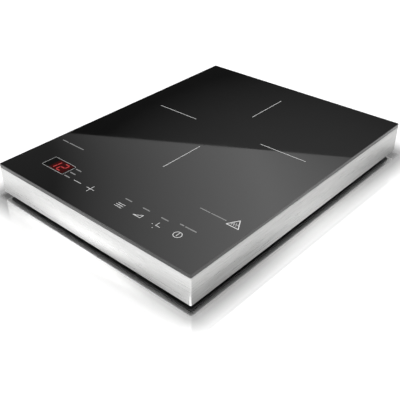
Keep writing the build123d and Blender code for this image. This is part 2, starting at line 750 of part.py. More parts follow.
def coil_leads():
    """One lead from each end of the winding to a terminal on the power board."""
    low = COIL_Z - COIL_WIRE_R
    high = 24.0
    top = POWER_TOP + COIL_TERMINAL_H
    routes = [
        [(COIL_IN_R, COIL_Y, low), (COIL_IN_R, COIL_Y, 20.5), (62.0, -40.0, 20.5),
         (*COIL_TERMINALS[0], high), (*COIL_TERMINALS[0], top)],
        [(COIL_OUT_R, COIL_Y, low), (COIL_OUT_R, COIL_Y, 20.5), (100.0, -36.0, 20.5),
         (*COIL_TERMINALS[1], high), (*COIL_TERMINALS[1], top)],
    ]
    return group(wire(route, COIL_WIRE_R) for route in routes)


def ribbon_cable():
    middle = sum(RIBBON_Y) / 2
    z = (POWER_TOP + HEADER_H - 0.6, RIBBON_LOW)
    return block((RIBBON_X[0] + 1, RIBBON_X[1] - 1), (middle - 0.45, middle + 0.45), z)


def fan_lead():
    x = sum(FAN_HEADER[0]) / 2
    y = sum(FAN_HEADER[1]) / 2
    side = FAN_X + FAN_SIDE / 2
    top = POWER_TOP + HEADER_H - 0.6
    return wire([(side, -100.0, 15.0), (-29.0, -100.0, 15.0), (-25.0, y, 24.0), (x, y, 24.0), (x, y, top)],
                THIN_WIRE_R)


def sensor_lead():
    x = sum(SENSOR_HEADER[0]) / 2
    y = sum(SENSOR_HEADER[1]) / 2
    bead_low = CAP_Z[1] - CAP_WALL - 2 * BEAD_R
    top = POWER_TOP + HEADER_H - 0.6
    return wire([(0, COIL_Y, bead_low), (0, COIL_Y, 23.0), (x, y, 23.0), (x, y, top)], THIN_WIRE_R)


NODES = {
    "glass_plate": glass_plate,
    "glass_seal": glass_seal,
    "steel_frame": steel_frame,
    "base_shell": base_shell,
    "foot_front_left": lambda: foot(-1, -1),
    "foot_front_right": lambda: foot(1, -1),
    "foot_rear_left": lambda: foot(-1, 1),
    "foot_rear_right": lambda: foot(1, 1),
    "base_screws": base_screws,
    "cord_inlet": cord_inlet,
    "cord_gland": cord_gland,
    "fan_frame": fan_frame,
    "fan_bearing": fan_bearing,
    "fan_stator": fan_stator,
    "fan_rotor": fan_rotor,
    "rotor_magnet": rotor_magnet,
    "fan_shaft": fan_shaft,
    "fan_screws": fan_screws,
    "coil_carrier": coil_carrier,
    "coil_winding": coil_winding,
    "ferrite_bars": ferrite_bars,
    "mica_sheet": mica_sheet,
    "coil_screws": coil_screws,
    "sensor_cap": sensor_cap,
    "sensor_bead": sensor_bead,
    "sensor_spring": sensor_spring,
    "power_board": power_board,
    "heatsink": heatsink,
    "igbt": igbt,
    "bridge_rectifier": bridge_rectifier,
    "device_screws": device_screws,
    "link_capacitor": lambda: film_capacitor((78.0, 110.0), (-124.0, -107.0), 33.0),
    "resonance_capacitor": lambda: film_capacitor((78.0, 110.0), (-104.0, -82.0), 35.0),
    "mains_filter_capacitor": lambda: film_capacitor((-8.0, 16.0), (-157.0, -146.0), 27.0),
    "choke_core": choke_core,
    "choke_winding": choke_winding,
    "fuse": fuse,
    "fuse_clips": fuse_clips,
    "varistor": varistor,
    "electrolytic_capacitors": electrolytic_capacitors,
    "supply_transformer": supply_transformer,
    "buzzer": buzzer,
    "board_headers": board_headers,
    "board_chips": board_chips,
    "coil_terminals": coil_terminals,
    "power_board_screws": power_board_screws,
    "control_board": control_board,
    "control_board_screws": control_board_screws,
    "display_module": display_module,
    "display_digits": display_digits,
    "touch_springs": touch_springs,
    "indicator_leds": indicator_leds,
    "terminal_block": terminal_block,
    "terminal_screws": terminal_screws,
    "mains_wires": mains_wires,
    "earth_wire": earth_wire,
    "coil_leads": coil_leads,
    "ribbon_cable": ribbon_cable,
    "fan_lead": fan_lead,
    "sensor_lead": sensor_lead,
}

os.makedirs("parts", exist_ok=True)
for node, make in NODES.items():
    export_step(make(), f"parts/{node}.step")
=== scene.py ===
import math

import bmesh
import bpy
from mathutils import Matrix, Vector


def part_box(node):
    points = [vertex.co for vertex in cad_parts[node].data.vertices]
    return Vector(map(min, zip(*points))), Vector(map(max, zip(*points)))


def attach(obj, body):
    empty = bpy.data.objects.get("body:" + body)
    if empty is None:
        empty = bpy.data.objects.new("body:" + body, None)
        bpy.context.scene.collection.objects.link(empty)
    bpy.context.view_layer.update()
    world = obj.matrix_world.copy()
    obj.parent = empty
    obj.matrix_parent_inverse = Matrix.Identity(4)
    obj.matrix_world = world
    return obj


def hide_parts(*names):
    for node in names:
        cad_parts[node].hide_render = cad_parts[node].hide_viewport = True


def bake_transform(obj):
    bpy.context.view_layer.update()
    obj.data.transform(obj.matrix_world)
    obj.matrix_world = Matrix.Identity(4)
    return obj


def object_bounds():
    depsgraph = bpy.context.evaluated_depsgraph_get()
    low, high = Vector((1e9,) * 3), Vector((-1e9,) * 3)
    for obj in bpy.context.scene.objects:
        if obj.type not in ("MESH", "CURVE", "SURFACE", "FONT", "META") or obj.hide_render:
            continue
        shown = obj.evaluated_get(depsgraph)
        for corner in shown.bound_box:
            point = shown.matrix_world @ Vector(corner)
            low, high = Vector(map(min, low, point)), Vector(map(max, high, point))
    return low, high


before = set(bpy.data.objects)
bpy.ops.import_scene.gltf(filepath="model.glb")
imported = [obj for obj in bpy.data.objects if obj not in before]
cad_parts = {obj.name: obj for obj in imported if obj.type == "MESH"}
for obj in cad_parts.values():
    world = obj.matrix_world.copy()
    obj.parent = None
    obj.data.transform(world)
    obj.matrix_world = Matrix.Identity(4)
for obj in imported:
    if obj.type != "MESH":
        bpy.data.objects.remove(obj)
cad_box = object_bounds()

MM = 0.001

# The portable induction hob: its outside is modelled here, on the sizes of the CAD nodes.
HOB_HIGH = cad_box[1]
HALF_X = HOB_HIGH[0]
HALF_Y = HOB_HIGH[1]
HOB_TOP = HOB_HIGH[2]
GLASS_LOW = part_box("glass_plate")[0].z
SKIRT_LOW, SKIRT_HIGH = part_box("steel_frame")
INLET_LOW, INLET_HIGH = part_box("cord_inlet")

# The skirt's bent sheet
CORNER_R = 1.5 * MM
SHEET_T = 1.0 * MM
TOP_FLANGE = 8.0 * MM
LOW_FLANGE = 13.0 * MM
FOLD_R = 0.45 * MM
VENT_COUNT = 21
VENT_PITCH = 6.0
VENT_MIDDLE = -15.0

# The glass and its print, which is sunk a little so that no gap shows under it
PRINT_T = 0.06 * MM
PRINT_SUNK = 0.01 * MM
GLASS_FACE = HOB_TOP - PRINT_T
NEAR = 0.1 * MM

# Where the base's edge is screwed on, in millimetres
BASE_SCREWS = [(sx * 136.5, sy * 110.0) for sx in (-1, 1) for sy in (-1, 1)]
BASE_SCREWS += [(sx * 70.0, sy * 180.5) for sx in (-1, 1) for sy in (-1, 1)]


# ---- modelling by hand ----

def deselect_all():
    bpy.ops.object.select_all(action="DESELECT")


def make_active(piece):
    deselect_all()
    piece.select_set(True)
    bpy.context.view_layer.objects.active = piece


def settle(piece):
    """Puts a piece's place, turn and size into its mesh."""
    make_active(piece)
    bpy.ops.object.transform_apply(location=True, rotation=True, scale=True)


def start_box(name, low, high):
    """A cuboid between two corners."""
    middle = [(a + b) / 2 for a, b in zip(low, high)]
    deselect_all()
    bpy.ops.mesh.primitive_cube_add(size=1, location=middle)
    piece = bpy.context.object
    piece.name = name
    piece.scale = [b - a for a, b in zip(low, high)]
    bpy.ops.object.transform_apply(location=True, rotation=True, scale=True)
    return piece


def start_drum(name, centre, radius, low, high, sides=48):
    """An upright cylinder."""
    deselect_all()
    place = (centre[0], centre[1], (low + high) / 2)
    bpy.ops.mesh.primitive_cylinder_add(vertices=sides, radius=radius, depth=high - low, location=place)
    piece = bpy.context.object
    piece.name = name
    bpy.ops.object.transform_apply(location=True, rotation=True, scale=True)
    return piece


def pick(piece, kind, test):
    """In edit mode, selects the faces or edges that pass a test of their middle and direction."""
    make_active(piece)
    bpy.ops.object.mode_set(mode="EDIT")
    bpy.ops.mesh.select_mode(type=kind)
    bpy.ops.mesh.select_all(action="DESELECT")
    mesh = bmesh.from_edit_mesh(piece.data)
    found = 0
    if kind == "FACE":
        for face in mesh.faces:
            if test(face.calc_center_median(), face.normal):
                face.select_set(True)
                found += 1
    else:
        for edge in mesh.edges:
            ends = edge.verts[0].co, edge.verts[1].co
            if test((ends[0] + ends[1]) / 2, (ends[1] - ends[0]).normalized()):
                edge.select_set(True)
                found += 1
    bmesh.update_edit_mesh(piece.data)
    return found


def leave():
    bpy.ops.object.mode_set(mode="OBJECT")


def bevel_edges(piece, test, width, segments):
    if pick(piece, "EDGE", test):
        bpy.ops.mesh.bevel(offset=width, segments=segments, profile=0.5, affect="EDGES", clamp_overlap=True)
    leave()


def soften(piece, width, segments=2, angle=40):
    """A small bevel on every sharp edge, and smooth shading."""
    make_active(piece)
    softener = piece.modifiers.new("soft edges", "BEVEL")
    softener.width = width
    softener.segments = segments
    softener.limit_method = "ANGLE"
    softener.angle_limit = math.radians(angle)
    softener.harden_normals = False
    bpy.ops.object.modifier_apply(modifier=softener.name)
    smooth(piece)


def smooth(piece, angle=35):
    make_active(piece)
    bpy.ops.object.shade_smooth_by_angle(angle=math.radians(angle))


def cut(piece, cutters, operation="DIFFERENCE"):
    """Cuts pieces out of a piece, or joins them to it, and removes the cutters."""
    for cutter in cutters:
        make_active(piece)
        tool = piece.modifiers.new("cut", "BOOLEAN")
        tool.operation = operation
        tool.solver = "EXACT"
        tool.object = cutter
        bpy.ops.object.modifier_apply(modifier=tool.name)
        bpy.data.objects.remove(cutter)
    return piece


def join(name, pieces):
    make_active(pieces[0])
    if len(pieces) > 1:
        for piece in pieces:
            piece.select_set(True)
        bpy.ops.object.join()
    pieces[0].name = name
    return pieces[0]


def close_up(gap):
    """In edit mode, merges what meets, turns the faces outwards, and leaves edit mode."""
    bpy.ops.mesh.select_all(action="SELECT")
    bpy.ops.mesh.remove_doubles(threshold=gap)
    bpy.ops.mesh.normals_make_consistent(inside=False)
    leave()


def round_slot(name, centre, long, wide, deep):
    """A cutter with round ends for an upright vent through the rear wall."""
    half = (wide / 2, deep / 2, long / 2)
    piece = start_box(name, [c - h for c, h in zip(centre, half)], [c + h for c, h in zip(centre, half)])
    bevel_edges(piece, lambda middle, way: abs(way.y) > 0.9, wide * 0.499, 6)
    return piece


def spin_profile(name, points, centre, steps=48, axis="Z"):
    """A turned part: the outline is points of radius and height, spun a full turn."""
    deselect_all()
    bpy.ops.mesh.primitive_plane_add(size=1)
    piece = bpy.context.object
    piece.name = name
    bpy.ops.object.mode_set(mode="EDIT")
    bpy.ops.mesh.select_mode(type="VERT")
    bpy.ops.mesh.select_all(action="SELECT")
    bpy.ops.mesh.merge(type="CENTER")
    bpy.ops.transform.translate(value=(points[0][0], 0, points[0][1]))
    for (radius, height), (next_radius, next_height) in zip(points, points[1:]):
        step = (next_radius - radius, 0, next_height - height)
        bpy.ops.mesh.extrude_vertices_move(TRANSFORM_OT_translate={"value": step})
    bpy.ops.mesh.select_all(action="SELECT")
    bpy.ops.mesh.spin(steps=steps, angle=2 * math.pi, center=(0, 0, 0), axis=(0, 0, 1))
    close_up(0.01 * MM)
    if axis == "Y":
        piece.rotation_euler = (-math.pi / 2, 0, 0)
    piece.location = centre
    settle(piece)
    return piece


# ---- finishes ----

def new_finish(name, color, roughness, metallic=0.0, ior=1.5):
    """A material with its shader ready, and the object coordinates that its pattern follows."""
    finish = bpy.data.materials.new(name)
    finish.use_nodes = True
    nodes = finish.node_tree.nodes
    shader = nodes["Principled BSDF"]
    shader.inputs["Base Color"].default_value = (*color, 1.0)
    shader.inputs["Roughness"].default_value = roughness
    shader.inputs["Metallic"].default_value = metallic
    shader.inputs["IOR"].default_value = ior
    place = nodes.new("ShaderNodeTexCoord")
    return finish, shader, place.outputs["Object"]


def add(finish, kind, **settings):
    node = finish.node_tree.nodes.new(kind)
    for key, value in settings.items():
        setattr(node, key, value)
    return node


def wire_up(finish, *pairs):
    for output, target in pairs:
        finish.node_tree.links.new(output, target)


def grain(finish, place, scale, detail=3.0, stretch=(1, 1, 1), rough=0.5):
    """A noise pattern in object space; stretch squeezes it along each axis."""
    mapping = add(finish, "ShaderNodeMapping")
    mapping.inputs["Scale"].default_value = stretch
    noise = add(finish, "ShaderNodeTexNoise")
    noise.inputs["Scale"].default_value = scale
    noise.inputs["Detail"].default_value = detail
    noise.inputs["Roughness"].default_value = rough
    wire_up(finish, (place, mapping.inputs["Vector"]), (mapping.outputs["Vector"], noise.inputs["Vector"]))
    return noise.outputs["Fac"]


def spread(finish, value, low, high, from_low=0.3, from_high=0.7):
    """Maps a pattern to a range of numbers."""
    span = add(finish, "ShaderNodeMapRange")
    span.inputs["From Min"].default_value = from_low
    span.inputs["From Max"].default_value = from_high
    span.inputs["To Min"].default_value = low
    span.inputs["To Max"].default_value = high
    wire_up(finish, (value, span.inputs["Value"]))
    return span.outputs["Result"]


def tint(finish, value, dark, light, from_low=0.3, from_high=0.7):
    """Maps a pattern to a range of colours."""
    ramp = add(finish, "ShaderNodeValToRGB")
    ramp.color_ramp.elements[0].position = from_low
    ramp.color_ramp.elements[0].color = (*dark, 1.0)
    ramp.color_ramp.elements[1].position = from_high
    ramp.color_ramp.elements[1].color = (*light, 1.0)
    wire_up(finish, (value, ramp.inputs["Fac"]))
    return ramp.outputs["Color"]


def emboss(finish, shader, height, depth, strength=1.0):
    """Bump from a pattern; depth is in metres."""
    bump = add(finish, "ShaderNodeBump")
    bump.inputs["Strength"].default_value = strength
    bump.inputs["Distance"].default_value = depth
    wire_up(finish, (height, bump.inputs["Height"]), (bump.outputs["Normal"], shader.inputs["Normal"]))


def shades(color, amount):
    """A darker and a lighter shade of a colour."""
    return [c * (1 - amount) for c in color], [min(1.0, c * (1 + amount)) for c in color]


def moulded(name, color, roughness=0.5, grain_size=0.4, depth=0.015, mottle=0.12):
    """Moulded plastic or rubber: a fine spark texture and slight unevenness of shade."""
    finish, shader, place = new_finish(name, color, roughness)
    broad = grain(finish, place, 60.0)
    fine = grain(finish, place, 1.0 / (grain_size * MM), 2.0)
    wire_up(finish, (tint(finish, broad, *shades(color, mottle)), shader.inputs["Base Color"]))
    wire_up(finish, (spread(finish, fine, roughness - 0.06, roughness + 0.08), shader.inputs["Roughness"]))
    emboss(finish, shader, fine, depth * MM)
    return finish


def metal(name, color, roughness=0.3, stretch=(1, 1, 1), grain_size=0.5, depth=0.004, mottle=0.08):
    """Bare metal with drawing or grinding marks along the axes that stretch leaves short."""
    finish, shader, place = new_finish(name, color, roughness, metallic=1.0)
    marks = grain(finish, place, 1.0 / (grain_size * MM), 3.0, stretch)
    wire_up(finish, (tint(finish, marks, *shades(color, mottle)), shader.inputs["Base Color"]))
    wire_up(finish, (spread(finish, marks, roughness - 0.07, roughness + 0.1), shader.inputs["Roughness"]))
    emboss(finish, shader, marks, depth * MM)
    return finish


def black_glass(name, roughness_low, roughness_high, shade=0.0022):
    """Opaque black glass-ceramic with the faintest haze."""
    finish, shader, place = new_finish(name, [shade] * 3, 0.03, ior=1.52)
    haze = grain(finish, place, 22.0, 4.0)
    wire_up(finish, (tint(finish, haze, *shades([shade] * 3, 0.1)), shader.inputs["Base Color"]))
    wire_up(finish, (spread(finish, haze, roughness_low, roughness_high), shader.inputs["Roughness"]))
    return finish


def brushed_steel(name):
    """Stainless steel brushed level, so that its hairlines run along each side of the skirt. Its front and
    rear faces are tinted lighter than its left and right sides: painted light and shade, not a difference in
    the steel.
    """
    finish, shader, place = new_finish(name, (0.38, 0.38, 0.375), 0.3, metallic=1.0)
    hairlines = grain(finish, place, 40.0, 6.0, (0.35, 0.35, 60.0), 0.8)
    patches = grain(finish, place, 14.0, 4.0, (2.2, 2.2, 48.0), 0.7)
    fine = add(finish, "ShaderNodeMath", operation="MULTIPLY")
    fine.inputs[1].default_value = 0.5
    both = add(finish, "ShaderNodeMath", operation="MULTIPLY_ADD")
    both.inputs[1].default_value = 0.5
    wire_up(finish, (hairlines, fine.inputs[0]), (patches, both.inputs[0]), (fine.outputs[0], both.inputs[2]))
    mixed = both.outputs[0]
    # Painted light and shade: the front and rear faces get the lighter tint and the left and right sides the
    # darker one, for how the light falls on the skirt.
    painted_shaded_sides = tint(finish, mixed, (0.40, 0.40, 0.395), (0.53, 0.53, 0.525), 0.4, 0.6)
    painted_lit_front_rear = tint(finish, mixed, (0.58, 0.58, 0.575), (0.67, 0.67, 0.665), 0.4, 0.6)
    where = add(finish, "ShaderNodeSeparateXYZ")
    out = add(finish, "ShaderNodeMath", operation="ABSOLUTE")
    blend = add(finish, "ShaderNodeMix", data_type="RGBA")
    wire_up(finish, (place, where.inputs[0]), (where.outputs["Y"], out.inputs[0]))
    painted_light_front_rear_mask = spread(finish, out.outputs[0], 0.0, 1.0, HALF_Y - CORNER_R, HALF_Y - SHEET_T / 2)
    wire_up(finish, (painted_light_front_rear_mask, blend.inputs[0]), (painted_shaded_sides, blend.inputs[6]), (painted_lit_front_rear, blend.inputs[7]),
            (blend.outputs[2], shader.inputs["Base Color"]))
    wire_up(finish, (spread(finish, mixed, 0.26, 0.36, 0.4, 0.6), shader.inputs["Roughness"]))
    emboss(finish, shader, hairlines, 0.01 * MM, 0.5)
    return finish


def glow(name, color, strength, surround):
    """Lit red segments; also the red filter's faint emission, which is painted glow."""
    finish, shader, place = new_finish(name, surround, 0.4)
    dots = grain(finish, place, 900.0, 1.0)
    wire_up(finish, (tint(finish, dots, *shades(color, 0.1)), shader.inputs["Emission Color"]))
    shader.inputs["Emission Strength"].default_value = strength
    return finish


# ---- the glass and what is printed on it ----

def glass_top():
    plate = start_box("glass_top", (-HALF_X, -HALF_Y, GLASS_LOW), (HALF_X, HALF_Y, GLASS_FACE))
    bevel_edges(plate, lambda middle, way: abs(way.z) > 0.9, CORNER_R, 5)

    def rim(middle, way):
        return abs(way.z) < 0.1 and (middle.z > GLASS_FACE - NEAR or middle.z < GLASS_LOW + NEAR)

    bevel_edges(plate, rim, FOLD_R, 3)
    plate.data.materials.append(black_glass("black glass face", 0.015, 0.035))
    plate.data.materials.append(black_glass("black glass ground edge", 0.16, 0.28, 0.03))
    smooth(plate, 25)
    for face in plate.data.polygons:
        level = abs(face.normal.z) > 0.999
        face.material_index = 0 if level else 1
        if level:
            face.use_smooth = False
    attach(plate, "chassis")
    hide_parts("glass_plate")


def stroke(start, end, width):
    """One printed bar with rounded ends between two points of the glass face, in millimetres."""
    run = Vector(end) - Vector(start)
    middle = (Vector(end) + Vector(start)) / 2
    deselect_all()
    place = (middle.x * MM, middle.y * MM, GLASS_FACE + PRINT_T / 2 - PRINT_SUNK)
    bpy.ops.mesh.primitive_cube_add(size=1)
    bar = bpy.context.object
    bar.scale = ((run.length + width) * MM, width * MM, PRINT_T)
    bpy.ops.object.transform_apply(location=False, rotation=False, scale=True)
    bevel_edges(bar, lambda centre, way: abs(way.z) > 0.9, width * 0.49 * MM, 3)
    bar.rotation_euler = (0, 0, math.atan2(run.y, run.x))
    bar.location = place
    settle(bar)
    return bar


def ring_mark(centre, radius, width, start=0.0, turn=360.0):
    """A printed ring, or part of one, spun from its cross-section."""
    deselect_all()
    place = (radius * MM, 0, GLASS_FACE + PRINT_T / 2 - PRINT_SUNK)
    bpy.ops.mesh.primitive_plane_add(size=1, location=place, rotation=(math.pi / 2, 0, 0))
    ring = bpy.context.object
    ring.scale = (width * MM, PRINT_T, 1)
    bpy.ops.object.transform_apply(location=True, rotation=True, scale=True)
    bpy.ops.object.mode_set(mode="EDIT")
    bpy.ops.mesh.select_all(action="SELECT")
    if turn == 360.0:
        bpy.ops.mesh.delete(type="ONLY_FACE")
        bpy.ops.mesh.select_all(action="SELECT")
    steps = max(8, int(turn / 8))
    bpy.ops.mesh.spin(steps=steps, angle=-math.radians(turn), center=(0, 0, 0), axis=(0, 0, 1))
    close_up(0.002 * MM)
    ring.rotation_euler = (0, 0, math.radians(start))
    ring.location = (centre[0] * MM, centre[1] * MM, 0)
    settle(ring)
    return ring


def closed_line(points, width):
    """A closed outline of strokes, united where they meet."""
    bars = [stroke(a, b, width) for a, b in zip(points, points[1:] + points[:1])]
    return cut(bars[0], bars[1:], "UNION")


def printed(name, marks, finish):
    """Strokes and rings joined in one printed or lit piece."""
    piece = join(name, marks)
    piece.data.materials.clear()
    piece.data.materials.append(finish)
    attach(piece, "chassis")
    return piece


ZONE_Y = 38.3
ZONE_ARM = (50.0, 111.0)
KEY_Y = -155.8


def zone_cross(ink):
    arms = []
    for way in ((1, 0), (0, 1), (-1, 0), (0, -1)):
        points = [(way[0] * r, ZONE_Y + way[1] * r) for r in ZONE_ARM]
        arms.append(stroke(*points, 0.75))
    printed("zone_cross", arms, ink)


def display_frame(ink):
    left, right, low, high, corner = -108.0, -72.0, -157.0, -137.0, 2.0
    sides = [
        stroke((left + corner, low), (right - corner, low), 0.6),
        stroke((left + corner, high), (right - corner, high), 0.6),
        stroke((left, low + corner), (left, high - corner), 0.6),
        stroke((right, low + corner), (right, high - corner), 0.6),
    ]
    arcs = [
        ring_mark((right - corner, high - corner), corner, 0.6, 0, 90),
        ring_mark((left + corner, high - corner), corner, 0.6, 90, 90),
        ring_mark((left + corner, low + corner), corner, 0.6, 180, 90),
        ring_mark((right - corner, low + corner), corner, 0.6, 270, 90),
    ]
    printed("display_frame", sides + arcs, ink)


def key_icons(ink):
    minus = stroke((-53, KEY_Y), (-42, KEY_Y), 0.7)
    plus = stroke((-32, KEY_Y), (-21, KEY_Y), 0.7)
    cut(plus, [stroke((-26.5, KEY_Y - 5.5), (-26.5, KEY_Y + 5.5), 0.7)], "UNION")
    menu = stroke((14.5, -156.2), (24.5, -156.2), 0.6)
    crossing = [stroke((14.5, y), (24.5, y), 0.6) for y in (-153.3, -159.1)]
    crossing += [stroke((x, -159.1), (x, -153.3), 0.3) for x in (17.8, 21.2)]
    cut(menu, crossing, "UNION")
    wedge = closed_line([(41.0, -158.2), (50.5, -158.2), (50.5, -153.2), (45.0, -156.9)], 0.7)
    hands = stroke((71.0, -156.9), (71.0, -151.5), 0.7)
    cut(hands, [stroke((71.0, -156.9), (76.2, -156.9), 0.7)], "UNION")
    dots = [stroke((66.2, -156.9), (66.8, -156.9), 0.7), stroke((71.0, -161.9), (71.0, -161.3), 0.7)]
    on_off = [ring_mark((97.0, -154.0), 4.4, 0.75, 104, 332), stroke((97.0, -156.0), (97.0, -149.2), 0.75)]
    printed("less_key_mark", [minus], ink)
    printed("more_key_mark", [plus], ink)
    printed("menu_key_mark", [menu], ink)
    printed("level_key_mark", [wedge], ink)
    printed("timer_key_mark", [hands] + dots, ink)
    printed("on_off_key_mark", on_off, ink)


def caption_bars(ink):
    """Plain bars where small captions would stand."""
    rows = [(15.5, 24.0, -143.8), (41.0, 49.5, -143.8), (66.5, 75.0, -143.8), (87.5, 91.5, -139.6),
            (94.5, 107.5, -139.6), (-68.5, -61.0, -139.7), (-68.5, -61.0, -148.0), (-68.5, -61.0, -156.0)]
    bars = [stroke((a, y), (b, y), 1.5) for a, b, y in rows]
    bars += [stroke((84.0, -106.2), (96.0, -106.2), 1.3), stroke((98.5, -106.2), (116.5, -106.2), 1.3)]
    bars += [stroke((-133.5, -106.0), (-124.0, -106.0), 1.4), stroke((-121.0, -106.0), (-97.0, -106.0), 1.4)]
    printed("caption_bars", bars, ink)


def hot_mark(ink):
    """A triangle with three heat waves."""
    sign = [closed_line([(120.0, -110.0), (134.5, -110.0), (127.2, -97.5)], 1.0)]
    for x in (124.6, 127.2, 129.8):
        sign.append(ring_mark((x + 0.2, -106.8), 1.1, 0.45, 100, 160))
        sign.append(ring_mark((x - 0.2, -104.6), 1.1, 0.45, -80, 160))
    printed("hot_mark", sign, ink)


def lit_digits(finish):
    """The two lit figures of the display, in slanted seven-segment bars."""
    low, high = -153.6, -140.6
    middle = (low + high) / 2
    slant = 0.6

    def bar(x0, y0, x1, y1):
        lean = [(y - middle) / (high - middle) * slant for y in (y0, y1)]
        return stroke((x0 + lean[0], y0), (x1 + lean[1], y1), 1.5)

    bars = [bar(-92.4, low + 1.2, -92.4, middle - 1.0), bar(-92.4, middle + 1.0, -92.4, high - 1.2)]
    left, right = -86.8, -79.6
    bars += [bar(left + 1.3, high, right - 1.3, high), bar(left + 1.3, middle, right - 1.3, middle),
             bar(left + 1.3, low, right - 1.3, low), bar(right, middle + 1.2, right, high - 1.2),
             bar(left, low + 1.2, left, middle - 1.2)]
    printed("lit_digits", bars, finish)


def display_pane(name, left, right, corner, thick, finish):
    """A thin pane behind the digits, inside the printed frame."""
    low = GLASS_FACE - 0.02 * MM
    pane = start_box(name, (left * MM, -156.4 * MM, low), (right * MM, -137.6 * MM, low + thick * MM))
    bevel_edges(pane, lambda middle, way: abs(way.z) > 0.9, corner * MM, 4)
    pane.data.materials.append(finish)
    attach(pane, "chassis")


def display():
    """The window and the red filter are matt inside the polished glass, so that the digits stand out. The
    filter's faint red emission is painted glow; the filter is no lamp.
    """
    window = black_glass("display window", 0.35, 0.4, 0.001)
    # Painted glow: the red filter emits a faint red though it is no lamp.
    red_filter_painted_glow = glow("red filter", (0.024, 0.0004, 0.0004), 1.0, (0.008, 0.0, 0.0))
    for finish in (window, red_filter_painted_glow):
        shader = finish.node_tree.nodes["Principled BSDF"]
        shader.inputs["Specular IOR Level"].default_value = 0.08
    display_pane("display_window", -107.4, -72.6, 1.6, 0.03, window)
    display_pane("display_red_filter", -97.5, -74.2, 1.2, 0.04, red_filter_painted_glow)
    lit_digits(glow("lit red", (0.80, 0.06, 0.06), 0.45, (0.10, 0.006, 0.006)))


# ---- the skirt ----

def skirt():
    """The steel sheet bent round the hob, open at the top and bottom inside its flanges."""
    sheet = start_box("skirt", SKIRT_LOW, SKIRT_HIGH)
    for z, flange in ((SKIRT_HIGH.z, TOP_FLANGE), (SKIRT_LOW.z, LOW_FLANGE)):
        pick(sheet, "FACE", lambda middle, normal: abs(normal.z) > 0.9 and abs(middle.z - z) < NEAR)
        bpy.ops.mesh.inset(thickness=flange)
        bpy.ops.mesh.delete(type="FACE")
        leave()
    bevel_edges(sheet, lambda middle, way: abs(way.z) > 0.9, CORNER_R, 6)
    make_active(sheet)
    wall = sheet.modifiers.new("sheet thickness", "SOLIDIFY")
    wall.thickness = SHEET_T
    wall.offset = -1
    wall.use_even_offset = True
    bpy.ops.object.modifier_apply(modifier=wall.name)

    def outer_fold(middle, way):
        level = min(abs(middle.z - SKIRT_LOW.z), abs(middle.z - SKIRT_HIGH.z)) < NEAR
        outside = abs(middle.x) > HALF_X - 0.9 * MM or abs(middle.y) > HALF_Y - 0.9 * MM
        return level and outside and abs(way.z) < 0.1

    bevel_edges(sheet, outer_fold, FOLD_R, 3)
    cut(sheet, skirt_cutters())
    smooth(sheet, 30)
    sheet.data.materials.append(brushed_steel("brushed steel with painted light"))
    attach(sheet, "chassis")
    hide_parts("steel_frame")


def seal_bead():
    """The silicone between glass and skirt, pressed out nearly to the edge. Its grey is painted light:
    lighter than black silicone, to lift the shade in the recessed joint.
    """
    low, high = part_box("glass_seal")
    out = 1.25 * MM
    wide = 5.5 * MM
    bead = start_box("seal_bead", (low.x - out, low.y - out, low.z), (high.x + out, high.y + out, high.z))
    bevel_edges(bead, lambda middle, way: abs(way.z) > 0.9, CORNER_R, 5)
    inside = start_box("inside", (low.x + wide, low.y + wide, low.z - MM),
                       (high.x - wide, high.y - wide, high.z + MM))
    cut(bead, [inside])
    soften(bead, 0.15 * MM, 2)
    # Painted light: the bead is tinted grey, lighter than black silicone, to lift the shade in the joint
    # under the glass.
    bead.data.materials.append(moulded("silicone tinted grey as painted light", (0.13, 0.13, 0.13), 0.6, 0.8))
    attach(bead, "chassis")
    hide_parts("glass_seal")


def skirt_cutters():
    """The rear vents, the cord inlet's notch and the screw holes of the lower flange."""
    vents = []
    for index in range(VENT_COUNT):
        x = VENT_MIDDLE + (index - VENT_COUNT // 2) * VENT_PITCH
        vents.append(round_slot("vent", (x * MM, HALF_Y, 21.0 * MM), 14.0 * MM, 3.0 * MM, 6.0 * MM))
    notch = start_box("notch", (88.0 * MM, HALF_Y - LOW_FLANGE, SKIRT_LOW.z - MM),
                      (112.0 * MM, HALF_Y + MM, 27.0 * MM))
    holes = [start_drum("hole", (x * MM, y * MM), 1.6 * MM, SKIRT_LOW.z - MM, SKIRT_LOW.z + 2 * MM, 24)
             for x, y in BASE_SCREWS]
    return [join("vents", vents), notch, join("holes", holes)]


# ---- what the base carries: feet, screws, cord inlet ----

# Outlines to spin, as radius and height in millimetres
FOOT_OUTLINE = [
    (0, 0.7), (3.6, 0.7), (4.4, 0.1), (5.0, 0.0), (9.9, 0.0), (10.6, 0.25), (11.0, 0.9), (11.0, 3.0),
    (10.7, 3.2), (10.7, 3.4), (11.0, 3.6), (10.8, 4.2), (3.8, 4.2), (3.8, 6.2), (4.75, 6.2), (4.6, 7.2),
    (4.1, 8.2), (0, 8.2),
]
SCREW_OUTLINE = [
    (0, 2.4), (1.6, 2.4), (2.4, 2.55), (2.85, 2.95), (3.0, 3.5), (3.0, 4.2), (1.5, 4.2), (1.5, 9.5),
    (0.9, 10.2), (0, 10.2),
]
GLAND_OUTLINE = [
    (4.1, 177.0), (6.4, 177.0), (6.95, 177.5), (6.95, 180.0), (8.7, 180.0), (9.0, 180.3), (9.0, 183.7),
    (8.7, 184.0), (6.95, 184.0), (6.95, 187.9), (6.4, 188.5), (4.6, 188.5), (4.1, 188.0), (4.1, 177.0),
]
INLET_X = 100.0 * MM
INLET_Z = 17.0 * MM


def in_metres(points):
    return [(radius * MM, height * MM) for radius, height in points]


def feet():
    rubber = moulded("foot rubber", (0.016, 0.016, 0.016), 0.75, 0.6, 0.03)
    for side in ("front_left", "front_right", "rear_left", "rear_right"):
        node = "foot_" + side
        low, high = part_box(node)
        centre = ((low.x + high.x) / 2, (low.y + high.y) / 2, 0)
        foot = spin_profile("turned_" + node, in_metres(FOOT_OUTLINE), centre, 56)
        smooth(foot, 30)
        foot.data.materials.append(rubber)
        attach(foot, "chassis")
        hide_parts(node)


